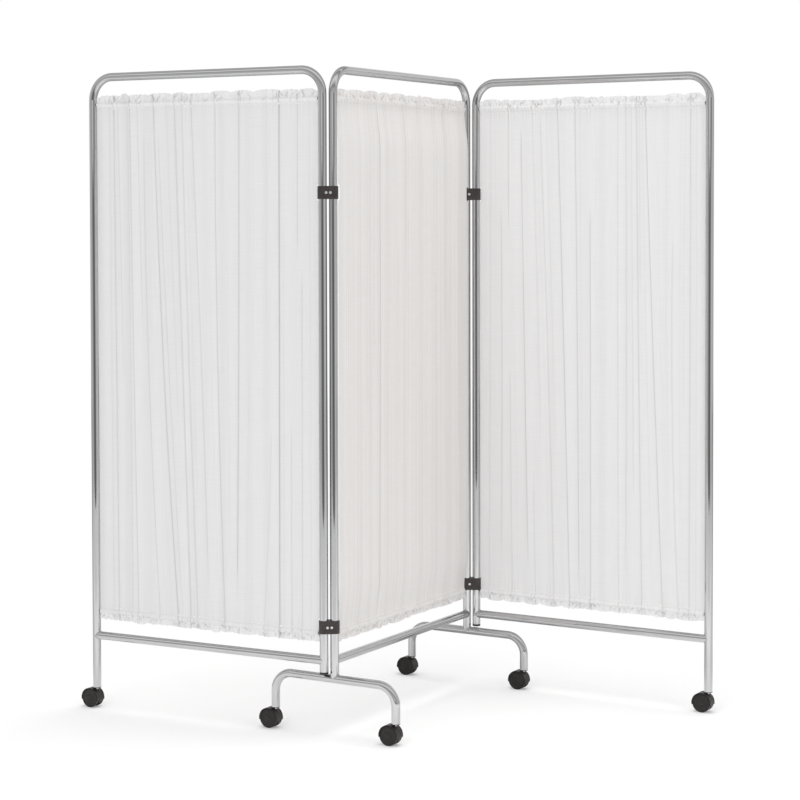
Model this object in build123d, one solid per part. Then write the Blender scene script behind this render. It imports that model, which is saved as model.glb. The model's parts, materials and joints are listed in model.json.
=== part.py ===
"""Folding privacy screen on casters: three chromed tube panels with gathered curtains.

Millimetres, +Z up, floor at zero. The middle panel stands on two arched feet. Each outer
panel hangs from the middle one by two clips, which turn on both tubes, and stands on one
caster of its own.
"""

import math
import os

from build123d import *

# Overall sizes
screen_height = 1700.0
panel_width = 700.0  # between the leg centres of one panel
tube_diameter = 22.0
tube_wall = 1.5
hinge_gap = 4.7  # free space between the two tubes of a hinge
overrun = 5.0  # how far a cut runs past what it cuts
weld_gap = 0.05  # between a coped tube end and the tube that it is welded to
seat_gap = 0.05  # between pieces that are pressed together
running_gap = 0.08  # radial, between pieces that turn on each other

# Frames
top_bend_radius = 60.0
crossbar_height = 195.0

# Feet
foot_height = 147.0
foot_spread = 360.0  # between the two stems of one foot
foot_bend_radius = 50.0
swing_clearance = 2.0  # between a foot and the plug of the leg that swings over it

# How the screen stands, as headings seen from above, in degrees from +X
middle_heading = 62.0
left_clip_heading = 189.2
left_heading = 155.3
right_clip_heading = -1.4
right_heading = -28.1
caster_heading = 152.0

# Hinge clips
upper_clip_drop = 310.0  # from the top bar's centre to the middle of the upper clips
rod_to_clip = 1.0  # free space between a bottom rod and the clip above it
clip_tall = 33.0
clip_wall = 1.9  # outside the tube, at the clip's ends
clip_face_wall = 2.6  # outside the tube, at the clip's flat faces
clip_corner_radius = 9.0
clip_edge_bevel = 0.8
clip_seat_spacing = 10.6  # between the two screw seats of one face
clip_seat_radius = 3.9
clip_seat_depth = 0.9
clip_seat_hole_radius = 1.6

# Clip screws
screw_head_radius = 3.4
screw_head_tall = 2.2
screw_bevel = 0.8
screw_slot_width = 0.9
screw_slot_depth = 0.8
screw_shank_radius = 1.5
screw_tip_gap = 0.3

# End plugs of the free inner legs
plug_flange = 6.0
plug_depth = 22.0
plug_bevel = 0.8

# Curtain rods
rod_radius = 2.5
top_rod_drop = 72.0  # from the top bar's centre to the rod's
rod_grip = 3.0  # how far a rod's end reaches into the bore of a leg
rod_hole_gap = 0.3  # radial, where a rod goes through the wall of a leg

# Curtains
curtain_side_gap = 5.5
cloth_thickness = 1.5
casing_tall = 18.0
casing_thickness = 9.0
casing_puff = 1.4
rod_pocket_gap = 0.3
ruffle_top = 12.0
ruffle_hem = 11.0
hem_clearance = 34.0  # between a crossbar and the hem over it
fold_depth = 5.0
gather_depth = 2.4
hem_depth = 4.2
gather_reach = 90.0  # from a casing to where the folds have opened out
seam_lap = 1.0
fold_shares = (1.0, 1.25, 0.8, 1.1, 0.9, 1.3, 1.0, 0.75, 1.15, 0.95, 1.2, 0.85, 1.05, 1.3,
               0.9, 1.1, 0.8, 1.2)
low_fold_shares = (1.15, 1.0, 0.95, 1.2, 0.8, 1.1, 1.2, 0.9, 0.95, 1.15, 1.0, 1.0, 0.85, 1.2,
                   1.05, 0.9, 1.0, 1.1)
swell_shares = (0.8, 1.0, 0.7, 1.0, 0.9, 0.75, 1.0, 0.85, 0.95, 0.7, 0.9)

# Casters
wheel_radius = 25.0
wheel_width = 10.0
wheel_edge_bevel = 1.8
wheel_rim = 4.0
wheel_dish = 1.6
wheel_cap_radius = 8.0
wheel_cap_wall = 2.4
caster_trail = 15.0
caster_top = 53.0  # underside of the socket's rim
hood_wall = 1.5
hood_gap = 0.5
hood_skirt_height = 20.0
hood_bevel = 0.8
web_thickness = 11.0
web_bottom_height = 13.0
wheel_side_gap = 0.5
axle_radius = 3.0
stem_radius = 4.0
stem_boss_height = 49.0
stem_boss_radius = 7.4
stem_depth = 30.0  # inside the hood
insert_rim = 2.0
insert_depth = 30.0
insert_bevel = 0.5

# Worked out from the sizes above
tube_radius = tube_diameter / 2
tube_bore_radius = tube_radius - tube_wall
hinge_spacing = tube_diameter + hinge_gap
bar_height = screen_height - tube_radius
upper_clip_height = bar_height - upper_clip_drop
top_rod_height = bar_height - top_rod_drop
bottom_rod_height = (crossbar_height + tube_radius + hem_clearance + ruffle_hem
                     + casing_tall / 2)
lower_clip_height = bottom_rod_height + rod_radius + rod_to_clip + clip_tall / 2
outer_leg_end = caster_top + insert_rim
plug_bottom = foot_height + tube_radius + swing_clearance
inner_leg_end = plug_bottom + plug_flange
curtain_width = panel_width - tube_diameter - 2 * curtain_side_gap

nodes = {}


def heading(degrees):
    """A unit vector on the floor plan."""
    return Vector(math.cos(math.radians(degrees)), math.sin(math.radians(degrees)), 0)


def round_bar(start, end, radius):
    """A solid round bar between two points."""
    run = Vector(*end) - Vector(*start)
    base = Plane(origin=start, z_dir=run)
    return base * Cylinder(radius, run.length, align=(Align.CENTER, Align.CENTER, Align.MIN))


def bent_tube(points, bend_radius):
    """A tube bent round the corners of a line."""
    path = FilletPolyline(*points, radius=bend_radius)
    profile = Circle(tube_radius) - Circle(tube_bore_radius)
    return sweep(Plane(origin=path @ 0, z_dir=path % 0) * profile, path=path)


def frame_tube(first_end, last_end):
    """One panel's bent tube, in the panel's own plane, with a hole for each rod end."""
    frame = bent_tube(
        [(0, 0, first_end), (0, 0, bar_height), (panel_width, 0, bar_height),
         (panel_width, 0, last_end)],
        top_bend_radius,
    )
    for x, inward in ((0, 1), (panel_width, -1)):
        for z in (top_rod_height, bottom_rod_height):
            frame -= round_bar((x, 0, z), (x + inward * (tube_radius + overrun), 0, z),
                               rod_radius + rod_hole_gap)
    return frame


def middle_frame():
    """Both legs of the middle panel are coped onto the feet."""
    frame = frame_tube(foot_height, foot_height)
    for x in (0, panel_width):
        saddle = round_bar((x, -tube_diameter, foot_height), (x, tube_diameter, foot_height),
                           tube_radius + weld_gap)
        frame -= saddle
    return frame


def crossbar():
    """The lower bar, coped to both legs."""
    ends = ((0, 0, crossbar_height), (panel_width, 0, crossbar_height))
    bar = round_bar(*ends, tube_radius) - round_bar(*ends, tube_bore_radius)
    for x in (0, panel_width):
        leg = round_bar((x, 0, crossbar_height - tube_diameter),
                        (x, 0, crossbar_height + tube_diameter), tube_radius + weld_gap)
        bar -= leg
    return bar


def foot():
    """An arched foot, across the panel, with its middle under a leg."""
    half = foot_spread / 2
    return bent_tube(
        [(0, -half, outer_leg_end), (0, -half, foot_height), (0, half, foot_height),
         (0, half, outer_leg_end)],
        foot_bend_radius,
    )


def end_plug():
    """The plastic plug in the open end of an inner leg."""
    flange = Pos(0, 0, plug_bottom) * Cylinder(
        tube_radius, plug_flange - seat_gap, align=(Align.CENTER, Align.CENTER, Align.MIN))
    flange = chamfer(flange.edges().group_by(Axis.Z)[0], plug_bevel)
    spigot = round_bar((0, 0, plug_bottom), (0, 0, inner_leg_end + plug_depth),
                       tube_bore_radius - seat_gap)
    return flange + spigot


def rods():
    """The top and the bottom curtain rod. Their ends stand in the bores of the legs."""
    first = tube_bore_radius - rod_grip
    last = panel_width - first
    return [round_bar((first, 0, z), (last, 0, z), rod_radius)
            for z in (top_rod_height, bottom_rod_height)]


def fold_places(shares):
    """Where the folds of a curtain turn, from its left edge to its right."""
    total = sum(shares)
    places = [-curtain_width / 2]
    for share in shares:
        places.append(places[-1] + curtain_width * share / total)
    return places


def rippled_edges(places, depths, base, z):
    """A row of shallow arcs, bulging by each depth from a straight base line."""
    return [
        ThreePointArc((left, base, z), ((left + right) / 2, base + depth, z), (right, base, z))
        for left, right, depth in zip(places, places[1:], depths)
    ]


def closed_outline(places, front_depths, back_depths, thickness, z):
    """The flat outline of a rippled strip, cut square at both ends."""
    front = rippled_edges(places, front_depths, -thickness / 2, z)
    back = rippled_edges(places, back_depths, thickness / 2, z)
    ends = [Line((x, -thickness / 2, z), (x, thickness / 2, z)) for x in (places[0], places[-1])]
    return make_face(Wire([item.edge() for item in front + back + ends]))


def sheet_outline(shares, depth, z):
    """Cloth in folds that go to and fro, one outline at one height."""
    places = fold_places(shares)
    depths = [
        depth * swell_shares[i % len(swell_shares)] * (-1) ** i for i in range(len(shares))
    ]
    return closed_outline(places, depths, depths, cloth_thickness, z)


def casing(rod_height):
    """The ruched pocket that a rod runs through."""
    places = fold_places(fold_shares)
    out = [-casing_puff] * len(fold_shares)
    back = [casing_puff] * len(fold_shares)
    outline = closed_outline(places, out, back, casing_thickness, rod_height - casing_tall / 2)
    pocket = extrude(outline, casing_tall, dir=(0, 0, 1))
    reach = curtain_width / 2 + overrun
    return pocket - round_bar((-reach, 0, rod_height), (reach, 0, rod_height),
                              rod_radius + rod_pocket_gap)


def curtain():
    """One gathered curtain: two ruched pockets, a folded sheet between them and two ruffles."""
    top = top_rod_height - casing_tall / 2
    bottom = bottom_rod_height + casing_tall / 2
    sheet = loft([
        sheet_outline(fold_shares, gather_depth, bottom - seam_lap),
        sheet_outline(low_fold_shares, fold_depth, bottom + gather_reach),
        sheet_outline(fold_shares, fold_depth, top - gather_reach),
        sheet_outline(fold_shares, gather_depth, top + seam_lap),
    ], ruled=True)
    crest = top_rod_height + casing_tall / 2
    ruffle = loft([
        sheet_outline(fold_shares, gather_depth, crest - seam_lap),
        sheet_outline(fold_shares, hem_depth, crest + ruffle_top),
    ], ruled=True)
    foot_line = bottom_rod_height - casing_tall / 2
    hem = loft([
        sheet_outline(fold_shares, hem_depth, foot_line - ruffle_hem),
        sheet_outline(fold_shares, gather_depth, foot_line + seam_lap),
    ], ruled=True)
    whole = casing(top_rod_height) + casing(bottom_rod_height) + sheet + ruffle + hem
    return Pos(panel_width / 2, 0, 0) * whole


def seat_face():
    """Distance of a screw head's seat from the plane through the tubes."""
    return tube_radius + clip_face_wall - clip_seat_depth


def hinge_clip(seats):
    """One moulding with a bore for each tube and a seat for each screw, its middle at zero."""
    length = hinge_spacing + tube_diameter + 2 * clip_wall
    depth = tube_diameter + 2 * clip_face_wall
    body = extrude(RectangleRounded(length, depth, clip_corner_radius), clip_tall / 2, both=True)
    body = chamfer(body.edges().group_by(Axis.Z)[0] + body.edges().group_by(Axis.Z)[-1],
                   clip_edge_bevel)
    for x in (-hinge_spacing / 2, hinge_spacing / 2):
        body -= round_bar((x, 0, -clip_tall), (x, 0, clip_tall), tube_radius + running_gap)
    for side, face in seats:
        x = side * clip_seat_spacing / 2
        body -= round_bar((x, face * seat_face(), 0), (x, face * (depth / 2 + overrun), 0),
                          clip_seat_radius)
        body -= round_bar((x, 0, 0), (x, face * depth / 2, 0), clip_seat_hole_radius)
    return body


def clip_screw(side, face):
    """A slotted screw that bears on one tube, seated in a clip whose middle is at zero."""
    x = side * clip_seat_spacing / 2
    seat = seat_face()
    off_centre = hinge_spacing / 2 - clip_seat_spacing / 2 - screw_shank_radius
    tip = math.sqrt((tube_radius + screw_tip_gap) ** 2 - off_centre ** 2)
    head = Cylinder(screw_head_radius, screw_head_tall,
                    align=(Align.CENTER, Align.CENTER, Align.MIN))
    head = chamfer(head.edges().group_by(Axis.Z)[-1], screw_bevel)
    head -= Pos(0, 0, screw_head_tall - screw_slot_depth / 2) * Box(
        2 * screw_head_radius + overrun, screw_slot_width, screw_slot_depth)
    shank = Cylinder(screw_shank_radius, seat - tip, align=(Align.CENTER, Align.CENTER, Align.MAX))
    outward = Plane(origin=(x, face * seat, 0), x_dir=(1, 0, 0), z_dir=(0, face, 0))
    return outward * (head + shank)


def caster_insert():
    """The plastic insert in a tube end, with its rim under the tube."""
    rim = Pos(0, 0, caster_top) * Cylinder(
        tube_radius, insert_rim - seat_gap, align=(Align.CENTER, Align.CENTER, Align.MIN))
    rim = chamfer(rim.edges().group_by(Axis.Z)[0], insert_bevel)
    body = round_bar((0, 0, caster_top), (0, 0, outer_leg_end + insert_depth),
                     tube_bore_radius - seat_gap)
    bore = round_bar((0, 0, caster_top - overrun), (0, 0, outer_leg_end + insert_depth + overrun),
                     stem_radius + seat_gap)
    return rim + body - bore


def caster_stem():
    """The steel pin that the caster turns on."""
    return round_bar((0, 0, stem_boss_height - stem_depth),
                     (0, 0, outer_leg_end + insert_depth), stem_radius)


def below(height, reach):
    """A block that cuts off all of a caster under one height."""
    return Pos(caster_trail, 0, height) * Box(
        4 * reach, 4 * reach, 4 * reach, align=(Align.CENTER, Align.CENTER, Align.MAX))


def caster_hood():
    """The moulded body: a cover over both wheels, a web between them and the stem's boss."""
    centre = (caster_trail, 0, wheel_radius)
    inner = wheel_radius + hood_gap
    outer = inner + hood_wall
    half = web_thickness / 2 + wheel_side_gap + wheel_width
    across = Plane(origin=centre, x_dir=(1, 0, 0), z_dir=(0, 1, 0))
    cover = across * Cylinder(outer, 2 * half)
    cover = chamfer(cover.edges().filter_by(GeomType.CIRCLE), hood_bevel)
    cover -= across * Cylinder(inner, 2 * half + overrun)
    cover -= below(hood_skirt_height, outer)
    web = across * Cylinder(outer - hood_wall / 2, web_thickness)
    web -= below(web_bottom_height, outer)
    boss = round_bar((0, 0, stem_boss_height - stem_depth), (0, 0, stem_boss_height),
                     web_thickness / 2)
    boss_top = wheel_radius + math.sqrt(outer ** 2 - (caster_trail + stem_boss_radius) ** 2)
    collar = round_bar((0, 0, boss_top), (0, 0, stem_boss_height), stem_boss_radius)
    collar -= across * Cylinder(inner, 2 * half)
    hood = cover + web + boss + collar
    hood -= round_bar((0, 0, stem_boss_height - stem_depth - seat_gap),
                      (0, 0, stem_boss_height + overrun), stem_radius + running_gap)
    hood -= across * Cylinder(axle_radius + seat_gap, web_thickness + overrun)
    return hood


def caster_wheel(side):
    """One wheel. Its outer face is dished round a cap that covers the axle's end."""
    inner_face = web_thickness / 2 + wheel_side_gap
    outer_face = inner_face + wheel_width
    dish = outer_face - wheel_dish
    outline = Polyline(
        (0, inner_face), (wheel_radius, inner_face), (wheel_radius, outer_face - wheel_edge_bevel),
        (wheel_radius - wheel_edge_bevel, outer_face), (wheel_radius - wheel_rim, outer_face),
        (wheel_radius - wheel_rim - wheel_dish, dish), (wheel_cap_radius + wheel_dish, dish),
        (wheel_cap_radius, outer_face), (0, outer_face), close=True)
    wheel = revolve(make_face(outline), Axis.Y)
    wheel -= round_bar((0, 0, 0), (0, outer_face - wheel_cap_wall, 0), axle_radius + running_gap)
    if side < 0:
        wheel = mirror(wheel, Plane.XZ)
    return Pos(caster_trail, 0, wheel_radius) * wheel


def caster_axle():
    """The pin through the hood's web that carries both wheels."""
    reach = web_thickness / 2 + wheel_side_gap + wheel_width - wheel_cap_wall - wheel_side_gap
    return round_bar((caster_trail, -reach, wheel_radius), (caster_trail, reach, wheel_radius),
                     axle_radius)


def put(point, degrees):
    """Where a piece drawn at the origin along +X goes on the plan."""
    return Location((point.X, point.Y, 0), (0, 0, degrees))


# The plan: each panel runs from its first leg along its heading
front_leg = heading(middle_heading) * (-panel_width / 2)
rear_leg = heading(middle_heading) * (panel_width / 2)
left_inner_leg = front_leg + heading(left_clip_heading) * hinge_spacing
right_inner_leg = rear_leg + heading(right_clip_heading) * hinge_spacing
left_outer_leg = left_inner_leg + heading(left_heading) * panel_width
right_outer_leg = right_inner_leg + heading(right_heading) * panel_width
foot_side = heading(middle_heading + 90) * (foot_spread / 2)
panels = {
    "middle": put(front_leg, middle_heading),
    "left": put(left_inner_leg, left_heading),
    "right": put(right_inner_leg, right_heading),
}
clips = {
    "left": (front_leg + left_inner_leg) / 2,
    "right": (rear_leg + right_inner_leg) / 2,
}
clip_headings = {"left": left_clip_heading, "right": right_clip_heading}
casters = {
    "front_left": front_leg + foot_side,
    "front_right": front_leg - foot_side,
    "rear_left": rear_leg + foot_side,
    "rear_right": rear_leg - foot_side,
    "left_leg": left_outer_leg,
    "right_leg": right_outer_leg,
}
caster_owners = {"middle": [name for name in casters if "leg" not in name],
                 "left": ["left_leg"], "right": ["right_leg"]}

# Panels
for side, place in panels.items():
    frame = middle_frame() if side == "middle" else frame_tube(inner_leg_end, outer_leg_end)
    nodes[side + "_frame"] = place * frame
    nodes[side + "_crossbar"] = place * crossbar()
    top_rod, bottom_rod = rods()
    nodes[side + "_top_rod"] = place * top_rod
    nodes[side + "_bottom_rod"] = place * bottom_rod
    nodes[side + "_curtain"] = place * curtain()
    if side != "middle":
        nodes[side + "_leg_plug"] = place * end_plug()

# Feet
nodes["front_foot"] = put(front_leg, middle_heading) * foot()
nodes["rear_foot"] = put(rear_leg, middle_heading) * foot()

# Clips: a screw is on one side of the hinge and one face, and -1 is the first tube or face.
# The left pair has both screws in front, the right pair has one on each face.
screw_seats = {"left": [(-1, 1), (1, 1)], "right": [(-1, -1), (1, 1)]}
for side, centre in clips.items():
    screws = []
    for level, z in (("upper", upper_clip_height), ("lower", lower_clip_height)):
        place = Location((centre.X, centre.Y, z), (0, 0, clip_headings[side]))
        nodes[side + "_" + level + "_clip"] = place * hinge_clip(screw_seats[side])
        screws += [place * clip_screw(*seat) for seat in screw_seats[side]]
    nodes[side + "_clip_screws"] = Compound(screws)

# Casters
for name, point in casters.items():
    place = put(point, caster_heading)
    nodes[name + "_caster_hood"] = place * caster_hood()
    nodes[name + "_caster_axle"] = place * caster_axle()
    nodes[name + "_near_wheel"] = place * caster_wheel(1)
    nodes[name + "_far_wheel"] = place * caster_wheel(-1)
for owner, names in caster_owners.items():
    places = [put(casters[name], caster_heading) for name in names]
    nodes[owner + "_caster_inserts"] = Compound([p * caster_insert() for p in places])
    nodes[owner + "_caster_stems"] = Compound([p * caster_stem() for p in places])

# The origin is on the floor, under the middle of the part's box
footprint = Compound(
    [item for name, item in nodes.items() if "curtain" not in name]).bounding_box()
shift = Vector(-footprint.center().X, -footprint.center().Y, 0)

os.makedirs("parts", exist_ok=True)
for name, item in nodes.items():
    export_step(Pos(shift) * item, f"parts/{name}.step")
print(len(nodes), "nodes; origin moved by", shift)
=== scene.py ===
"""Looks of the folding privacy screen: chromed tube, gathered cloth, moulded black parts."""

import json
import math

import bpy
import numpy as np
from mathutils import Euler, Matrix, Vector


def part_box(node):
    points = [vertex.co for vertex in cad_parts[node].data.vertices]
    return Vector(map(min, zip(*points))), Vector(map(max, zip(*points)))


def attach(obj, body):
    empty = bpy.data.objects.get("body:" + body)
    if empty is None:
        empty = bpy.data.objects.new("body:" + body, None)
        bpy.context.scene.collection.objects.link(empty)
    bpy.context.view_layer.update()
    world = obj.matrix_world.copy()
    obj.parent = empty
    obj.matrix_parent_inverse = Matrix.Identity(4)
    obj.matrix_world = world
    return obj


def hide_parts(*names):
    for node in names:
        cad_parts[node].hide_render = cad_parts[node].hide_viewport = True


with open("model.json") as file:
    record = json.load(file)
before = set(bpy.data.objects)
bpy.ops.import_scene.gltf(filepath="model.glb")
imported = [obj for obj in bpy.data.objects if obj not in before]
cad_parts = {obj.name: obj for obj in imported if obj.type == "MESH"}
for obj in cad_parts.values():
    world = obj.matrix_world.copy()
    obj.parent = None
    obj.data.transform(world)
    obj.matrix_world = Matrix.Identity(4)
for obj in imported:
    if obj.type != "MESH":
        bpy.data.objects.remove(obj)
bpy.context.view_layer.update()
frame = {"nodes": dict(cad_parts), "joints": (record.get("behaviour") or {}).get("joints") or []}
nodes = frame["nodes"]
joints = {joint["name"]: joint for joint in frame["joints"]}

# Camera, from the photograph's own perspective: metres, degrees, and millimetres for the lens
camera_place = (0.2511, -5.4710, 1.3292)
camera_turn = 2.497  # to the left of +Y
camera_dip = 1.893  # below the horizon
camera_roll = 0.121
camera_lens = 92.35
camera_sensor = 36.0
camera_shift = -0.15
camera_far = 60.0

# Tube, and the weld beads where two tubes meet
tube_radius = 0.011
bead_radius = 0.0011
bead_gap = 0.0004  # from the tube's end to the middle of the bead
bead_spread = 1.02  # the bead's loop over the tube's own round
bead_ripple = 0.14  # share by which the bead's radius varies
bead_ripples = 21
bead_steps, bead_sides = 64, 8

# Cloth: its grid
column_step = 0.0018
column_gap = 0.0004  # least, between two columns
deep_crease = 0.3  # a crease deeper than this has columns of its own
crease_columns = (-0.0030, -0.0019, -0.0012, -0.0005, 0.0, 0.0005, 0.0012, 0.0019, 0.0030)
knot_gap = 0.0015  # least, between two creases, as a share of the width
row_step = 0.030
row_gap = 0.005  # least, between a row of this step and one beside a clip
fine_row_step = 0.0016  # in the casings and ruffles
fine_row_reach = 0.012  # past a casing
fine_row_margin = 0.003  # least, from the lower fine rows to one beside a clip
last_row_slack = 0.0001  # so that the last fine row isn't lost to rounding
clip_rows = (-0.0215, -0.0175, 0.0, 0.0175, 0.0215)  # from the middle of a clip

# Cloth: its cut and its edges
cloth_fullness = 1.3  # cut width over hung width
curtain_side_gap = 0.0012
clip_clearance = 0.0045  # from a tube to the cloth's edge at the height of a clip
clip_half, clip_fade = 0.0175, 0.004  # the notch beside a clip: half its height, and its slopes
edge_reach = 0.02  # how far in from an edge its shift is felt
puff_reach = 0.10  # from a casing to where the cloth stands out in full
cloth_back, cloth_front = -0.005, 0.0045  # where folds are cut off

# Cloth: casings and ruffles
casing_short = 0.005  # from a rod to the seam of the ruffle beyond it
casing_long = 0.013  # from a rod to the other seam of its casing
short_fade, long_fade = 0.0028, 0.006  # slopes of the casing beside those seams
arch_depth = 0.0045  # from the middle of a casing to its front or back layer
arch_reach = 0.0065
seam_wander = 0.0008
seam_width = 0.0012
seam_shown, seam_uneven, most_seam = 0.5, 0.55, 1.3  # a seam comes and goes
crest_tall = 0.0195
hem_tall = 0.0150
ruffle_depth = 0.0055  # how far a ruffle may stand out, to either side
corner_drop, corner_reach = 0.006, 0.020  # at both ends of a ruffle
edge_ripple = 0.0005

# Lobes of a ruffle's edge: widths, heights, and how much all of them are lowered
crest_lobes = ((0.020, 0.085), (0.0005, 0.0065), 0.0025)
hem_lobes = ((0.025, 0.090), (0.0010, 0.0060), 0.002)
deep_hem_lobes = ((0.05, 0.07), (0.0045, 0.0065), 0.003)

# Short folds in a ruffle. Starts and lengths are shares of its height
fold_starts, fold_lengths = (-0.5, 0.35), (0.35, 0.95)
fold_leans = (-0.9, 0.9)
fold_widths = (0.0010, 0.0021)
fold_depths = (0.35, 1.0)
fold_rise, fold_fall = 4, 2.5  # full depth after 1/4 of its length, and up to 2/5 from its end
fold_scatter = 0.011  # from the crease that a fold belongs to
folds_per_depth = 5
stray_folds = 30
most_fold = 1.2

# Fine creases between the main ones, as shares of their spacing, of full depth and of the height
fine_crease_places = (0.6, 1.4)
fine_crease_depths = (0.08, 0.34)
fine_crease_starts, fine_crease_lengths = (0.1, 0.6), (0.35, 1.0)

# Lengths of the waves in the cloth, from shortest to longest
band_waves = (0.035, 0.085)
swell_waves = (0.045, 0.13)
pucker_waves = (0.006, 0.019)
seam_waves = (0.010, 0.035)
seam_gap_waves = (0.012, 0.050)
slant_waves = (0.05, 0.12)
frill_waves = (0.008, 0.020)
curl_waves = (0.04, 0.10)
ripple_waves = (0.007, 0.015)

# How far folds stand out, and how far that reaches
crease_lift = 0.0010
crease_drop = -0.8  # of the lift, on the other side of a crease
crease_reach, crease_drop_reach = 0.014, 0.006
crease_start_fade, crease_end_fade = 0.05, 0.10  # shares of the height
crowd_reach = 0.016  # of a crease, over which puckers gather
least_crowd, crowd_share = 0.12, 0.7
swell_lift = 0.0006
swell_calmed = 0.7  # share of the swell that is gone at a casing
pucker_lift = 0.0006
pucker_reach = 0.022  # from a casing
casing_pucker_lift, back_pucker_lift = 0.0007, 0.0004
frill_lift = 0.0010
frill_slant = 0.8
curl_lift = 0.0018
fold_lift = 0.0012

# How much painted shade darkens the cloth in its folds, and how much darker its seams and single
# layer are, where 1 is the tone of the deepest one
painted_crease_shade, crease_width = 0.50, 0.0017
painted_band_shade, band_level = 0.055, 0.4
painted_pucker_shade, deepest_pucker = 0.12, 1.5
single_tone, single_start, single_fade = 0.183, 0.008, 0.005
painted_casing_shade, casing_tone_start, casing_tone_fade = 0.22, 0.002, 0.003
painted_casing_pucker_shade = 0.08
ruffle_seam_tone, casing_seam_tone = 0.22, 0.06
painted_frill_shade, deepest_frill = 0.15, 1.6
painted_fold_shade = 0.72
deepest_tone = 0.62  # share of the cloth's own colour

# Main creases: share of the width from the left at the top, half way down and at the hem, depth,
# and the shares of the height between which it shows
left_creases = (
    (0.061, 0.063, 0.067, 0.40, 0.00, 1.00), (0.079, 0.085, 0.091, 0.85, 0.00, 1.00),
    (0.097, 0.117, 0.127, 0.45, 0.00, 0.45), (0.143, 0.152, 0.156, 0.45, 0.00, 1.00),
    (0.155, 0.168, 0.185, 1.00, 0.00, 1.00), (0.190, 0.213, 0.235, 0.60, 0.00, 0.36),
    (0.219, 0.237, 0.285, 0.70, 0.10, 1.00), (0.266, 0.306, 0.370, 0.90, 0.00, 1.00),
    (0.281, 0.330, 0.391, 0.50, 0.10, 0.90), (0.362, 0.395, 0.427, 0.95, 0.00, 1.00),
    (0.397, 0.423, 0.459, 0.75, 0.00, 1.00), (0.437, 0.481, 0.512, 0.75, 0.00, 0.85),
    (0.548, 0.555, 0.583, 0.90, 0.00, 1.00), (0.655, 0.649, 0.636, 1.00, 0.00, 0.86),
    (0.807, 0.801, 0.757, 0.40, 0.66, 1.00), (0.831, 0.829, 0.826, 1.20, 0.00, 1.00),
    (0.883, 0.881, 0.880, 0.70, 0.65, 0.96), (0.912, 0.907, 0.904, 0.70, 0.00, 0.22),
    (0.929, 0.928, 0.925, 0.55, 0.36, 1.00), (0.963, 0.964, 0.964, 0.30, 0.00, 1.00))
middle_creases = (
    (0.066, 0.066, 0.066, 0.60, 0.00, 1.00), (0.153, 0.153, 0.150, 0.30, 0.00, 1.00),
    (0.191, 0.191, 0.191, 0.30, 0.10, 0.80), (0.228, 0.228, 0.228, 0.40, 0.00, 1.00),
    (0.255, 0.255, 0.255, 0.40, 0.00, 0.45), (0.295, 0.296, 0.285, 0.95, 0.03, 0.92),
    (0.399, 0.399, 0.399, 0.30, 0.00, 1.00), (0.438, 0.438, 0.438, 0.45, 0.30, 0.60),
    (0.495, 0.495, 0.495, 0.55, 0.00, 0.25), (0.516, 0.516, 0.520, 0.65, 0.00, 0.55),
    (0.600, 0.600, 0.600, 0.40, 0.00, 1.00), (0.659, 0.659, 0.659, 0.30, 0.20, 1.00),
    (0.790, 0.790, 0.790, 0.40, 0.00, 0.60), (0.813, 0.813, 0.813, 0.65, 0.00, 0.40),
    (0.854, 0.854, 0.854, 0.55, 0.00, 1.00), (0.902, 0.902, 0.902, 0.30, 0.00, 1.00))
right_creases = (
    (0.051, 0.049, 0.042, 0.30, 0.00, 1.00), (0.094, 0.103, 0.099, 0.75, 0.25, 0.85),
    (0.133, 0.136, 0.147, 0.75, 0.00, 0.17), (0.137, 0.140, 0.151, 0.75, 0.57, 0.97),
    (0.190, 0.208, 0.227, 1.00, 0.08, 0.85), (0.231, 0.241, 0.258, 0.50, 0.80, 1.00),
    (0.241, 0.273, 0.296, 0.40, 0.00, 0.62), (0.278, 0.314, 0.343, 0.65, 0.05, 1.00),
    (0.358, 0.388, 0.414, 1.10, 0.00, 1.00), (0.436, 0.448, 0.456, 0.90, 0.00, 0.90),
    (0.503, 0.506, 0.508, 1.10, 0.25, 1.00), (0.626, 0.627, 0.632, 0.50, 0.00, 1.00),
    (0.660, 0.664, 0.662, 0.50, 0.00, 0.85), (0.686, 0.692, 0.704, 0.40, 0.00, 0.70),
    (0.708, 0.718, 0.734, 0.70, 0.00, 1.00), (0.720, 0.728, 0.746, 0.35, 0.00, 0.30),
    (0.744, 0.781, 0.823, 1.00, 0.02, 1.00), (0.880, 0.860, 0.891, 0.65, 0.30, 1.00),
    (0.937, 0.937, 0.935, 0.60, 0.00, 1.00), (0.963, 0.964, 0.964, 0.30, 0.00, 1.00))

# Studio: grey levels in reflections. Walls and lights go by the share of a full turn from behind
# the object, through its left. The ceiling goes by the share of the half turn from the front
# horizon, through straight up, to the back. The floor in reflections has painted shade by the
# share of its depth, and painted light that turns it white under the outer panels, by a share of
# its width and of its depth.
surround_level = 0.668
wall_levels = (
    (0.0, 0.80), (0.167, 0.72), (0.25, 0.68), (0.335, 0.62), (0.375, 0.50), (0.42, 0.31),
    (0.46, 0.20), (0.50, 0.15), (0.535, 0.15), (0.575, 0.40), (0.61, 0.72), (0.80, 0.64),
    (1.0, 0.80))
light_row_levels = (
    (0.0, 0.85), (0.25, 0.70), (0.33, 0.62), (0.37, 0.36), (0.42, 0.70), (0.46, 0.86),
    (0.52, 0.60), (0.555, 0.28), (0.61, 0.32), (0.66, 0.62), (0.72, 0.80), (0.79, 0.52),
    (1.0, 0.80))
ceiling_levels = (
    (0.0, 0.66), (0.10, 0.58), (0.165, 0.34), (0.23, 0.68), (0.29, 1.0), (0.37, 1.0),
    (0.43, 0.60), (0.51, 0.30), (0.575, 0.88), (0.64, 0.50), (0.71, 0.42), (0.77, 0.60),
    (0.83, 0.84), (0.90, 0.95), (1.0, 0.72))
painted_floor_shade_levels = (
    (0.02, 0.78), (0.28, 0.76), (0.36, 1.0), (0.41, 1.0), (0.44, 0.80), (0.51, 0.80),
    (0.53, 0.50), (0.55, 0.46), (0.58, 0.76), (0.63, 0.56), (0.75, 0.50))
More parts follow.
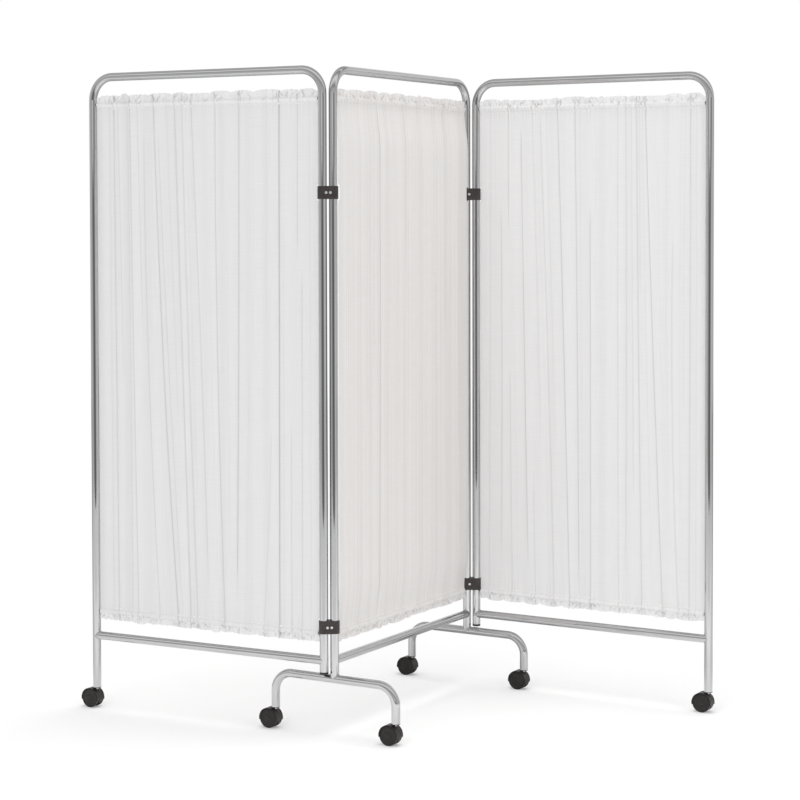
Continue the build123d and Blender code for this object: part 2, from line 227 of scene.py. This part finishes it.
painted_light_across = (
    (0.18, 0.0), (0.26, 1.0), (0.44, 1.0), (0.50, 0.0), (0.60, 0.0), (0.66, 0.9), (0.74, 0.9),
    (0.82, 0.0))
painted_light_along = ((0.40, 0.0), (0.42, 1.0), (0.53, 1.0), (0.56, 0.0))
floor_half_width, floor_half_depth = 2.0, 4.0  # metres each side that the shares are of
wall_edge = ((0.507, 0.0), (0.514, 1.0))  # from the walls to the row of lights, by height
light_row_edge = ((0.53, 0.0), (0.57, 1.0))  # from the row of lights to the ceiling
floor_front = 3.8
floor_reach = 9.0
floor_drop = 0.0002  # under the wheels
plain_near, plain_far = (0.7, 0.22), (1.9, 1.0)  # distance, and share of plain white there


def joint_point(name):
    """A joint's place on the floor plan."""
    x, y, _ = joints[name]["pos_m"]
    return Vector((x, y, 0))


# Each panel runs between two legs on the plan, from left to right as seen from the front
legs = {
    "middle": (joint_point("left_clip_turn"), joint_point("right_clip_turn")),
    "left": (joint_point("left_leg_swivel"), joint_point("left_panel_turn")),
    "right": (joint_point("right_panel_turn"), joint_point("right_leg_swivel")),
}


# Node tools
def grey(level):
    """A grey level as a colour."""
    return (level, level, level, 1)


def tinted(tone, share=1.0):
    """A tone, or a share of it, as a colour."""
    return (*[c * share for c in tone], 1)


def feed(tree, socket, item):
    """Links an output to a socket, or sets the socket's value."""
    if isinstance(item, bpy.types.NodeSocket):
        tree.links.new(item, socket)
    else:
        socket.default_value = item


def add(tree, kind, **settings):
    """A node with some of its inputs fed or its properties set."""
    node = tree.nodes.new(kind)
    for key, value in settings.items():
        if key in node.inputs:
            feed(tree, node.inputs[key], value)
        else:
            setattr(node, key, value)
    return node


def calculate(tree, operation, first, second):
    """The result of an operation on two values."""
    node = add(tree, "ShaderNodeMath", operation=operation)
    feed(tree, node.inputs[0], first)
    feed(tree, node.inputs[1], second)
    return node.outputs["Value"]


def as_share(tree, value, low, high):
    """Where a value lies between two others, from 0 to 1."""
    node = add(tree, "ShaderNodeMapRange", Value=value)
    node.inputs["From Min"].default_value = low
    node.inputs["From Max"].default_value = high
    return node.outputs["Result"]


def ramp(tree, value, *stops):
    """A grey level or a colour by a value from 0 to 1, through (place, level) stops."""
    node = add(tree, "ShaderNodeValToRGB", Fac=value)
    elements = node.color_ramp.elements
    while len(elements) < len(stops):
        elements.new(0.5)
    for element, (place, level) in zip(elements, stops):
        element.position = place
        element.color = level if hasattr(level, "__len__") else grey(level)
    return node.outputs["Color"]


def blended(tree, factor, first, second):
    """A colour between two, where each is a colour or an output."""
    node = add(tree, "ShaderNodeMix", data_type="RGBA")
    for key, item in (("Factor", factor), ("A", first), ("B", second)):
        feed(tree, node.inputs[key], item)
    return node.outputs["Result"]


def noise(tree, coordinates, scale, detail=3.0, stretch=(1, 1, 1)):
    """Noise on coordinates that are scaled by three factors first."""
    mapping = add(tree, "ShaderNodeMapping", Vector=coordinates, Scale=stretch)
    texture = add(tree, "ShaderNodeTexNoise", Vector=mapping.outputs["Vector"], Scale=scale,
                  Detail=detail)
    return texture.outputs["Fac"]


def bump(tree, shader, height, strength, distance):
    """Relief from a height value."""
    node = add(tree, "ShaderNodeBump", Height=height, Strength=strength, Distance=distance)
    tree.links.new(node.outputs["Normal"], shader.inputs["Normal"])


# Materials
def new_material(name):
    """A material, its node tree and its Principled shader."""
    material = bpy.data.materials.new(name)
    material.use_nodes = True
    tree = material.node_tree
    return material, tree, tree.nodes["Principled BSDF"]


def clouded(name, colours, roughness, scale):
    """A material that varies in clouds between two colours and two values of roughness."""
    material, tree, shader = new_material(name)
    place = add(tree, "ShaderNodeTexCoord").outputs["Object"]
    clouds = noise(tree, place, scale)
    for key, (low, high) in (("Base Color", colours), ("Roughness", roughness)):
        tree.links.new(ramp(tree, clouds, (0.3, low), (0.7, high)), shader.inputs[key])
    return material, tree, shader, place


def metal(name, tone, rough_low, rough_high, cloud_scale, drawn=1.0):
    """Bright metal with faint clouds in its polish and fine drawing marks."""
    colours = tinted(tone, 0.94), tinted(tone)
    material, tree, shader, place = clouded(name, colours, (rough_high, rough_low), cloud_scale)
    shader.inputs["Metallic"].default_value = 1.0
    marks = noise(tree, place, scale=900.0, detail=2.0, stretch=(1, 1, drawn))
    bump(tree, shader, marks, strength=0.08, distance=0.00004)
    return material


def moulding(name, tone, rough_low, rough_high, grain, gloss):
    """Black moulded plastic with a fine grain and a slightly uneven sheen."""
    colours = tinted(tone, 0.8), tinted(tone, 1.25)
    material, tree, shader, place = clouded(name, colours, (rough_low, rough_high), 60.0)
    shader.inputs["Specular IOR Level"].default_value = gloss
    fine = noise(tree, place, scale=grain, detail=4.0)
    bump(tree, shader, fine, strength=0.35, distance=0.00012)
    return material


def cloth(name, tone):
    """Thin plain-weave polyester, with painted shade in its folds from the mesh's crease attribute,
    which also darkens its seams and its single layer.
    """
    material, tree, shader = new_material(name)
    place = add(tree, "ShaderNodeTexCoord").outputs["UV"]
    warp = noise(tree, place, scale=1.0, detail=4.0, stretch=(420, 9, 1))
    weft = noise(tree, place, scale=1.0, detail=4.0, stretch=(12, 520, 1))
    slubs = calculate(tree, "MULTIPLY", calculate(tree, "ADD", warp, weft), 0.5)
    streaks = ramp(tree, slubs, (0.38, tinted(tone, 0.945)), (0.62, tinted(tone)))
    # The crease attribute blends in painted shade at creases, puckers, frills and folds, and darker
    # seams
    crease = add(tree, "ShaderNodeAttribute", attribute_name="crease").outputs["Fac"]
    colour = blended(tree, crease, streaks, tinted(tone, deepest_tone))
    tree.links.new(colour, shader.inputs["Base Color"])
    threads = [
        add(tree, "ShaderNodeTexWave", bands_direction=direction, Vector=place, Scale=400.0,
            Distortion=0.6, Detail=1.0).outputs["Fac"]
        for direction in ("X", "Y")]
    bump(tree, shader, calculate(tree, "ADD", *threads), strength=0.25, distance=0.0002)
    shader.inputs["Roughness"].default_value = 0.85
    shader.inputs["Sheen Weight"].default_value = 0.15
    shader.inputs["Sheen Roughness"].default_value = 0.5
    return material


chrome = metal("chrome_tube", (0.60, 0.60, 0.605), 0.04, 0.08, cloud_scale=9.0, drawn=0.02)
bright_steel = metal("bright_steel", (0.70, 0.70, 0.71), 0.14, 0.24, cloud_scale=160.0)
screw_steel = metal("screw_steel", (0.90, 0.90, 0.91), 0.40, 0.52, cloud_scale=160.0)
weld_metal = metal("chromed_weld", (0.62, 0.62, 0.62), 0.18, 0.32, cloud_scale=700.0)
clip_plastic = moulding("clip_plastic", (0.038, 0.030, 0.030), 0.42, 0.56, 2600.0, 0.45)
hood_plastic = moulding("caster_plastic", (0.027, 0.021, 0.021), 0.34, 0.48, 2200.0, 0.32)
wheel_plastic = moulding("wheel_plastic", (0.020, 0.016, 0.016), 0.28, 0.42, 1800.0, 0.32)
plug_plastic = moulding("plug_plastic", (0.030, 0.029, 0.029), 0.45, 0.60, 2400.0, 0.35)
white_cloth = cloth("curtain_fabric", (0.865, 0.86, 0.862))
# The middle curtain has a darker, warmer copy of the same cloth: painted shade on that panel
painted_shade_cloth = cloth("curtain_fabric_painted_shade", (0.844, 0.819, 0.804))

finishes = (
    (("_frame", "_crossbar", "_foot"), chrome),
    (("_rod", "_axle", "_stems"), bright_steel),
    (("_screws",), screw_steel),
    (("_clip",), clip_plastic),
    (("_hood",), hood_plastic),
    (("_wheel",), wheel_plastic),
    (("_inserts", "_plug"), plug_plastic),
    (("_curtain",), white_cloth),
)
for name, item in nodes.items():
    item.data.materials.clear()
    item.data.materials.append(next(m for ends, m in finishes if name.endswith(ends)))


def new_piece(name, vertices, faces, material):
    """An object in the scene, from its vertices and faces."""
    mesh = bpy.data.meshes.new(name)
    mesh.from_pydata(vertices, [], faces)
    mesh.materials.append(material)
    piece = bpy.data.objects.new(name, mesh)
    bpy.context.scene.collection.objects.link(piece)
    return piece


def shade_smooth(piece):
    """Smooth shading over all faces of a piece."""
    polygons = piece.data.polygons
    polygons.foreach_set("use_smooth", [True] * len(polygons))


# Curtains: seeded forms
def smooth(x):
    """A soft step from 0 to 1."""
    x = np.clip(x, 0, 1)
    return x * x * (3 - 2 * x)


def waves(rng, x, lengths, count):
    """A sum of sine waves of seeded lengths and phases, about one deep."""
    total = np.zeros_like(x)
    for _ in range(count):
        length = rng.uniform(*lengths)
        total += np.sin(2 * math.pi * (x / length + rng.random()))
    return total / math.sqrt(count)


def lobes(rng, x, width, widths, heights, lowered):
    """A scalloped edge: rounded lobes of seeded widths and heights, with a notch between two."""
    total = np.zeros_like(x)
    start = -width / 2 - rng.uniform(0, widths[0])
    while start < width / 2:
        wide = rng.uniform(*widths)
        t = np.clip((x - start) / wide, 0, 1)
        total += rng.uniform(*heights) * (1 - np.abs(2 * t - 1) ** 3)
        start += wide
    return total - lowered


def short_folds(rng, x, up, tall, places):
    """Short slanting folds that start near a ruffle's seam, as a share of full depth."""
    total = np.zeros_like(x)
    for place in places:
        base, length = rng.uniform(*fold_starts) * tall, rng.uniform(*fold_lengths) * tall
        along = np.clip((up - base) / length, 0, 1)
        d = (x - place - rng.uniform(*fold_leans) * (up - base)) / rng.uniform(*fold_widths)
        ends = smooth(along * fold_rise) * smooth((1 - along) * fold_fall)
        total += rng.uniform(*fold_depths) * np.exp(-d ** 2) * ends
    return np.clip(total, 0, most_fold)


def with_fine_creases(rng, creases, width, spacing):
    """The main creases, and fainter seeded ones between them: two in three start at the top."""
    edges = ((0.0, 0.0, 0.0, 0.0, 0.0, 0.0),) + creases + ((1.0, 1.0, 1.0, 0.0, 0.0, 0.0),)
    found = list(creases)
    for one, other in zip(edges, edges[1:]):
        gap = (other[1] - one[1]) * width
        count = int(gap / spacing)
        for i in range(count):
            f = (i + rng.uniform(*fine_crease_places)) / (count + 1)
            line = [a * (1 - f) + b * f for a, b in zip(one[:3], other[:3])]
            start = rng.choice((0.0, 0.0, rng.uniform(*fine_crease_starts)))
            depth = rng.uniform(*fine_crease_depths)
            found.append((*line, depth, start, start + rng.uniform(*fine_crease_lengths)))
    return sorted(found, key=lambda line: line[1])


# Curtains: the grid
def row_heights(low_rod, high_rod, clips):
    """The heights of the rows of a curtain: close together in its casings and ruffles."""
    low = np.arange(low_rod - casing_short - hem_tall, low_rod + casing_long + fine_row_reach,
                    fine_row_step)
    high = np.arange(high_rod - casing_long - fine_row_reach,
                     high_rod + casing_short + crest_tall + last_row_slack, fine_row_step)
    count = int((high[0] - low[-1]) / row_step)
    between = np.linspace(low[-1], high[0], count + 1)[1:-1]
    beside = [clip + offset for clip in clips for offset in clip_rows]
    beside = [z for z in beside if low[-1] + fine_row_margin < z < high[0]]
    between = [z for z in between if min(abs(z - other) for other in beside) > row_gap]
    return np.concatenate([low, np.sort(np.concatenate([between, beside])), high])


def crease_knots(lines, h):
    """Where the left edge, each crease and the right edge cross each row: shares of the width."""
    paths = [a * 2 * (h - 0.5) * (h - 1) - m * 4 * h * (h - 1) + b * 2 * h * (h - 0.5)
             for a, m, b, *_ in lines]
    knots = np.concatenate([0 * h, *paths, 0 * h + 1], axis=1)
    for i in range(1, knots.shape[1] - 1):
        knots[:, i] = np.maximum(knots[:, i], knots[:, i - 1] + knot_gap)
    knots[:, -1] = np.maximum(knots[:, -2] + knot_gap, 1)
    return knots / knots[:, -1:]


def column_shares(knots, lines, width):
    """The grid's shares of the width: columns follow the creases, close together beside them."""
    first = knots[0]
    columns = list(np.linspace(0, 1, int(width / column_step) + 1))
    for place, line in zip(first[1:-1], lines):
        if line[3] > deep_crease:
            columns += [place + offset / width for offset in crease_columns]
    columns = np.sort(np.clip(columns, 0, 1))
    columns = columns[np.concatenate([[True], np.diff(columns) > column_gap / width])]
    return np.array([np.interp(columns, first, row) for row in knots])


def edge_placer(width, heights, clips, to_seam, wrap, hinged):
    """The function that gives the place of a share of the width, with the shifts of both edges.

    The edges are close to the legs, in front of them by wrap where the cloth stands out, and
    clear of the clips where they are hinged. A shift dies out towards the middle of the cloth."""
    clear = np.zeros_like(to_seam)
    for clip in clips:
        from_notch = (np.abs(heights - clip) - clip_half) / clip_fade
        clear = np.maximum(clear, 1 - smooth(from_notch)[:, None])
    outward = wrap * smooth(to_seam / puff_reach)
    left_shift, right_shift = (
        outward * (1 - clear * at_hinge) - (clip_clearance - curtain_side_gap) * clear * at_hinge
        for at_hinge in hinged)

    def placed(part):
        x = (part - 0.5) * width
        return x - left_shift * np.exp(-part * width / edge_reach) + right_shift * np.exp(
            (part - 1) * width / edge_reach)

    return placed


# Curtains: what folds do
def creased(rng, lines, knots, placed, grid_x, down):
    """How far the creases stand out, how much painted shade they put on the cloth, and how they
    crowd.

    At a crease the cloth is laid over itself: a soft rise on one side and a drop on the other."""
    out, painted_shade_and_tone, crowd = (np.zeros_like(grid_x) for _ in range(3))
    for i, (_, _, _, depth, begins, stops) in enumerate(lines):
        d = (grid_x - placed(knots[:, i + 1:i + 2])) * rng.choice((-1, 1))
        lasts = smooth((down - begins + crease_start_fade) / crease_start_fade) * smooth(
            (stops + crease_end_fade - down) / crease_end_fade)
        drop = crease_drop * np.exp(-d / crease_drop_reach)
        out += crease_lift * depth * lasts * np.where(d < 0, np.exp(d / crease_reach), drop)
        # Painted shade along each crease
        painted_shade_and_tone += painted_crease_shade * depth * lasts * np.exp(-(d / crease_width) ** 2)
        crowd += depth * np.exp(-(d / crowd_reach) ** 2)
    return out, painted_shade_and_tone, np.clip(least_crowd + crowd_share * crowd, 0, 1)


def casing_profile(across):
    """How far a place is inside a casing, and its arch over the rod, by its distance to the rod."""
    inside = smooth((casing_short - across) / short_fade) * smooth(
        (across + casing_long) / long_fade)
    return inside, inside * np.exp(-(across / arch_reach) ** 2)


def ruffle_edges(rng, x, width, deep_hem):
    """How far the edges of both ruffles stand out: scalloped, and less at both ends."""
    crest = lobes(rng, x, width, *crest_lobes)
    hem = lobes(rng, x, width, *hem_lobes)
    deep = lobes(rng, x, width, *deep_hem_lobes)
    hem = hem + deep_hem * smooth(-x / width * 5) * (deep - hem)
    corner = corner_drop * (1 - smooth((width / 2 - np.abs(x)) / corner_reach))
    fine = edge_ripple * waves(rng, x, ripple_waves, 3)
    return crest + fine - corner, hem + fine - corner / 2


def cloth_piece(name, material, middle, along, front, layers):
    """A piece from layers of cloth: grids of places along, to the front and up, and of tones, which
    hold painted shade, the seams and the single layer's tone.
    """
    vertices, uvs, faces, marks = [], [], [], []
    for x, out, z, painted_shade_and_tone in layers:
        count = len(vertices)
        tall, wide = x.shape
        for r in range(tall):
            for c in range(wide):
                point = middle + along * float(x[r, c]) + front * float(out[r, c])
                vertices.append((point.x, point.y, float(z[r, c])))
                uvs.append((float(x[r, c]) * cloth_fullness, float(z[r, c])))
                marks.append(float(min(painted_shade_and_tone[r, c], 1)))
        for r in range(tall - 1):
            for c in range(wide - 1):
                a = count + r * wide + c
                faces.append((a, a + 1, a + wide + 1, a + wide))
    piece = new_piece(name, vertices, faces, material)
    shade_smooth(piece)
    mesh = piece.data
    layer = mesh.uv_layers.new(name="UVMap")
    corners = np.empty(len(mesh.loops), dtype=np.int32)
    mesh.loops.foreach_get("vertex_index", corners)
    layer.data.foreach_set("uv", np.array(uvs, dtype=np.float32)[corners].ravel())
    attribute = mesh.attributes.new("crease", "FLOAT", "POINT")
    attribute.data.foreach_set("value", np.array(marks, dtype=np.float32))
    return piece


def curtain(name, body, material, creases, seed, spacing, hinged, puff=0.0, wrap=0.0, deep_hem=0):
    """A gathered curtain on its two rods, as one thin sheet with a back layer in each casing.

    Fine creases are about spacing apart. Hinged says for the left and the right edge whether it
    is beside the clips. The cloth stands out by puff, and its edges reach in front of the legs
    by wrap. A deep hem has deeper lobes on its left half."""
    rng = np.random.default_rng(seed)
    start, end = legs[name]
    along = (end - start).normalized()
    front = Vector((along.y, -along.x, 0))
    middle = (start + end) / 2
    width = (end - start).length - 2 * (tube_radius + curtain_side_gap)
    rod_low, rod_high = (
        (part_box(name + level)[0].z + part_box(name + level)[1].z) / 2
        for level in ("_bottom_rod", "_top_rod"))
    rods = ((rod_low, -1), (rod_high, 1))
    clips = [(low.z + high.z) / 2
             for low, high in map(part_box, ("left_lower_clip", "left_upper_clip"))]
    heights = row_heights(rod_low, rod_high, clips)
    down = ((rod_high - heights) / (rod_high - rod_low))[:, None]
    to_seam = np.minimum(
        rod_high - casing_long - heights, heights - rod_low - casing_long)[:, None]

    lines = with_fine_creases(rng, creases, width, spacing)
    knots = crease_knots(lines, np.clip(down, 0, 1))
    share = column_shares(knots, lines, width)
    placed = edge_placer(width, heights, clips, to_seam, wrap, hinged)
    grid_x = placed(share)
    grid_z = np.tile(heights[:, None], (1, share.shape[1]))
    down = np.tile(down, (1, share.shape[1]))
    out, painted_shade_and_tone, crowd = creased(rng, lines, knots, placed, grid_x, down)

    # Soft waves between the casings, with painted shade in broad bands, and puckers close to them,
    # with painted shade in their dips
    painted_shade_bands = waves(np.random.default_rng(seed + 100), share * width, band_waves, 5)
    painted_shade_and_tone += painted_band_shade * np.clip(painted_shade_bands + band_level, 0, None)
    near = np.exp(-np.clip(to_seam, 0, None) / pucker_reach)
    out += swell_lift * waves(rng, grid_x, swell_waves, 4) * (1 - swell_calmed * near)
    pucker = waves(rng, grid_x, pucker_waves, 7)
    pucker_shade_mask = np.clip(-pucker, 0, deepest_pucker)
    out += pucker_lift * near * crowd * pucker
    painted_shade_and_tone += painted_pucker_shade * near * crowd * pucker_shade_mask
    out += puff * smooth(to_seam / puff_reach)
    out = np.clip(out, cloth_back, cloth_front + puff)

    # One layer lets some light through, and looks a little darker than the two of the seams
    painted_shade_and_tone += single_tone * smooth((to_seam + single_start) / single_fade)

    # Casings: the cloth passes over the rod, between two seams that wander and come and go.
    # Painted shade darkens the cloth over the rod and in the casing's puckers
    uneven = np.random.default_rng(seed + 200)
    wander = seam_wander * waves(uneven, grid_x, seam_waves, 4)
    broken = seam_shown + seam_uneven * waves(uneven, grid_x, seam_gap_waves, 4)
    broken = np.clip(broken, 0, most_seam)
    for rod, up in rods:
        across = (grid_z - rod) * up
        inside, arch = casing_profile(across)
        out = out * (1 - inside) + arch_depth * arch + casing_pucker_lift * inside * crowd * pucker
        painted_shade_over_rod = smooth((grid_z - rod + casing_tone_start) / casing_tone_fade)
        painted_shade_and_tone += painted_casing_shade * inside * painted_shade_over_rod
        painted_shade_and_tone += painted_casing_pucker_shade * inside * crowd * pucker_shade_mask
        for seam, tone in ((casing_short, ruffle_seam_tone), (-casing_long, casing_seam_tone)):
            painted_shade_and_tone += tone * broken * np.exp(-((across - seam - wander) / seam_width) ** 2)

    # Ruffles: frilled and curled, with short folds at their seams, more of them at the creases.
    # Painted shade darkens the frills' dips and the short folds
    from_seams = grid_z - rod_high - casing_short, rod_low - casing_short - grid_z
    over, under = np.clip(from_seams, 0, None)
    rise = over / crest_tall + under / hem_tall
    slant = frill_slant * waves(rng, grid_x, slant_waves, 3)
    frill = waves(rng, grid_x + slant * (over + under), frill_waves, 6)
    curl = waves(rng, grid_x, curl_waves, 3)
    frill_shade_mask = np.clip(-frill, 0, deepest_frill)
    out += smooth(rise * 3) * crowd * frill_lift * frill + rise * curl_lift * curl
    painted_shade_and_tone += painted_frill_shade * smooth(rise * 6) * (1.15 - rise) * crowd * frill_shade_mask
    for beyond, tall, row in zip(from_seams, (crest_tall, hem_tall), (-1, 0)):
        crease_places = (knots[row][1:-1] - 0.5) * width
        places = [rng.normal(place, fold_scatter) for place, line in zip(crease_places, lines)
                  for _ in range(1 + int(line[3] * folds_per_depth))]
        places += list(rng.uniform(-width / 2, width / 2, stray_folds))
        folds = short_folds(rng, grid_x, beyond, tall, places)
        out -= fold_lift * folds
        painted_shade_and_tone += painted_fold_shade * folds
    out = np.where(rise > 0, np.clip(out, -ruffle_depth, ruffle_depth), out)
    crest, hem = ruffle_edges(rng, grid_x, width, deep_hem)
    grid_z += over / crest_tall * crest - under / hem_tall * hem

    # The back layers of both casings, behind their rods
    layers = [(grid_x, out, grid_z, painted_shade_and_tone)]
    for rod, up in rods:
        across = (heights - rod) * up
        half_row = fine_row_step / 2
        strip = (across < casing_short + half_row) & (across > -casing_long - half_row)
        z = grid_z[strip]
        inside, arch = casing_profile((z - rod) * up)
        back = (out[strip] * (1 - inside) - arch_depth * arch
                - back_pucker_lift * inside * pucker[strip])
        layers.append((grid_x[strip], back, z, 0 * z))

    piece = cloth_piece(name + "_cloth", material, middle, along, front, layers)
    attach(piece, body)
    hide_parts(name + "_curtain")


curtain("left", "left_panel", white_cloth, left_creases, seed=11, spacing=0.034, hinged=(0, 1))
curtain("middle", "middle_panel", painted_shade_cloth, middle_creases, seed=23, spacing=0.011,
        hinged=(1, 1), puff=0.0090, wrap=0.0045)
curtain("right", "right_panel", white_cloth, right_creases, seed=37, spacing=0.026,
        hinged=(1, 0), deep_hem=1)


# Weld beads where tubes of one size meet
def weld_bead(name, body, centre, run, leg, seed):
    """A bead round the end of a tube along run, where it is coped onto a tube along leg."""
    rng = np.random.default_rng(seed)
    side = run.cross(leg)
    vertices, faces = [], []
    phase = rng.random()
    for i in range(bead_steps):
        turn = 2 * math.pi * i / bead_steps
        across, above = tube_radius * math.cos(turn), tube_radius * math.sin(turn)
        reach = math.sqrt(max(tube_radius ** 2 - across ** 2, 0))
        spine = (centre + run * (reach + bead_gap)
                 + side * across * bead_spread + leg * above * bead_spread)
        normal = (run * reach + side * across * 2 + leg * above).normalized()
        tangent = normal.cross(run + leg * 0.01).normalized()  # never along the normal
        other = normal.cross(tangent)
        ripple = math.sin(2 * math.pi * (i / bead_steps * bead_ripples + phase))
        thick = bead_radius * (1 + bead_ripple * ripple)
        for k in range(bead_sides):
            a = 2 * math.pi * k / bead_sides
            vertices.append(tuple(spine + (normal * math.cos(a) + other * math.sin(a)) * thick))
            j, m = (i + 1) % bead_steps, (k + 1) % bead_sides
            faces.append((i * bead_sides + k, j * bead_sides + k,
                          j * bead_sides + m, i * bead_sides + m))
    piece = new_piece(name, vertices, faces, weld_metal)
    shade_smooth(piece)
    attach(piece, body)


up = Vector((0, 0, 1))
for seed, (panel, (start, end)) in enumerate(legs.items()):
    low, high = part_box(panel + "_crossbar")
    height = up * (low.z + high.z) / 2
    run = (end - start).normalized()
    weld_bead(panel + "_first_weld", panel + "_panel", start + height, run, up, seed)
    weld_bead(panel + "_last_weld", panel + "_panel", end + height, -run, up, seed + 10)
foot_run = (legs["middle"][1] - legs["middle"][0]).normalized().cross(up)
for seed, (which, point) in enumerate(zip(("front", "rear"), legs["middle"])):
    height = up * (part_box(which + "_foot")[1].z - tube_radius)
    weld_bead(which + "_foot_weld", "middle_panel", point + height, up, foot_run, seed + 20)


# Floor, background and light
def pale_floor():
    """A pale floor that keeps the shadows and runs into the white background, with painted shade
    and painted light where it is seen in reflections.
    """
    material, tree, shader = new_material("floor")
    shader.inputs["Roughness"].default_value = 0.9
    shader.inputs["Specular IOR Level"].default_value = 0.1
    ray = add(tree, "ShaderNodeLightPath")
    place = add(tree, "ShaderNodeTexCoord").outputs["Object"]
    x, y, _ = add(tree, "ShaderNodeSeparateXYZ", Vector=place).outputs
    deep = as_share(tree, y, -floor_half_depth, floor_half_depth)
    wide = as_share(tree, x, -floor_half_width, floor_half_width)
    # In reflections the floor has painted shade by its depth and painted light under the outer
    # panels
    painted_light_under_panels = calculate(
        tree, "MULTIPLY", ramp(tree, wide, *painted_light_across), ramp(tree, deep, *painted_light_along))
    painted_floor_in_reflections = blended(tree, painted_light_under_panels, ramp(tree, deep, *painted_floor_shade_levels), grey(1))
    tone = blended(tree, ray.outputs["Is Glossy Ray"], grey(0.97), painted_floor_in_reflections)
    tree.links.new(tone, shader.inputs["Base Color"])

    # Far from the object, the camera sees plain white
    distance = add(tree, "ShaderNodeVectorMath", operation="LENGTH", Vector=place)
    far = add(tree, "ShaderNodeMapRange", Value=distance.outputs["Value"],
              interpolation_type="SMOOTHSTEP")
    for end, (metres, share) in (("Min", plain_near), ("Max", plain_far)):
        far.inputs["From " + end].default_value = metres
        far.inputs["To " + end].default_value = share
    plain = add(tree, "ShaderNodeEmission", Color=grey(1), Strength=1.0)
    seen = calculate(tree, "MULTIPLY", ray.outputs["Is Camera Ray"], far.outputs["Result"])
    mix = add(tree, "ShaderNodeMixShader", Fac=seen)
    tree.links.new(shader.outputs["BSDF"], mix.inputs[1])
    tree.links.new(plain.outputs["Emission"], mix.inputs[2])
    tree.links.new(mix.outputs["Shader"], tree.nodes["Material Output"].inputs["Surface"])

    corners = ((-floor_reach, -floor_front), (floor_reach, -floor_front),
               (floor_reach, floor_reach), (-floor_reach, floor_reach))
    floor = new_piece("floor", [(x, y, -floor_drop) for x, y in corners], [(0, 1, 2, 3)], material)


def studio_world():
    """A white surround for the camera, and the walls and ceiling of a studio in reflections."""
    world = bpy.data.worlds.new("studio")
    bpy.context.scene.world = world
    world.use_nodes = True
    tree = world.node_tree
    background = tree.nodes["Background"]
    ray = add(tree, "ShaderNodeLightPath")
    toward = add(tree, "ShaderNodeTexCoord").outputs["Generated"]
    x, y, z = add(tree, "ShaderNodeSeparateXYZ", Vector=toward).outputs
    to_front = calculate(tree, "MULTIPLY", y, -1.0)
    around = as_share(tree, calculate(tree, "ARCTAN2", x, to_front), -math.pi, math.pi)
    over = as_share(tree, calculate(tree, "ARCTAN2", z, to_front), 0.0, math.pi)
    height = as_share(tree, z, -1.0, 1.0)
    low = blended(tree, ramp(tree, height, *wall_edge), ramp(tree, around, *wall_levels),
                  ramp(tree, around, *light_row_levels))
    room = blended(tree, ramp(tree, height, *light_row_edge), low,
                   ramp(tree, over, *ceiling_levels))
    level = blended(tree, ray.outputs["Is Glossy Ray"], grey(surround_level), room)
    seen = blended(tree, ray.outputs["Is Camera Ray"], level, grey(1))
    tree.links.new(seen, background.inputs["Color"])
    background.inputs["Strength"].default_value = 1.0


def softbox(name, place, aim, size, power):
    """A square area lamp that looks at a point."""
    lamp = bpy.data.lights.new(name, "AREA")
    lamp.shape = "SQUARE"
    lamp.size = size
    lamp.energy = power
    item = bpy.data.objects.new(name, lamp)
    item.visible_glossy = False
    item.location = place
    item.rotation_euler = (Vector(aim) - Vector(place)).to_track_quat("-Z", "Y").to_euler()
    bpy.context.scene.collection.objects.link(item)


pale_floor()
studio_world()
softbox("key_light", (-1.9, -4.6, 3.2), aim=(0, 0, 0.8), size=2.6, power=50)
softbox("fill_light", (3.4, -3.0, 2.6), aim=(0.2, 0.2, 0.9), size=2.4, power=26)
softbox("top_light", (0.3, 0.05, 4.6), aim=(0.1, -0.15, 0), size=2.7, power=100)

camera_data = bpy.data.cameras.new("camera")
camera_data.lens = camera_lens
camera_data.sensor_width = camera_sensor
camera_data.shift_y = camera_shift
camera_data.clip_end = camera_far
camera = bpy.data.objects.new("camera", camera_data)
camera.location = camera_place
camera.rotation_euler = Euler(
    (math.radians(90 - camera_dip), math.radians(camera_roll), math.radians(camera_turn)), "XYZ")
bpy.context.scene.collection.objects.link(camera)
bpy.context.scene.camera = camera
bpy.context.scene.view_settings.view_transform = "Standard"
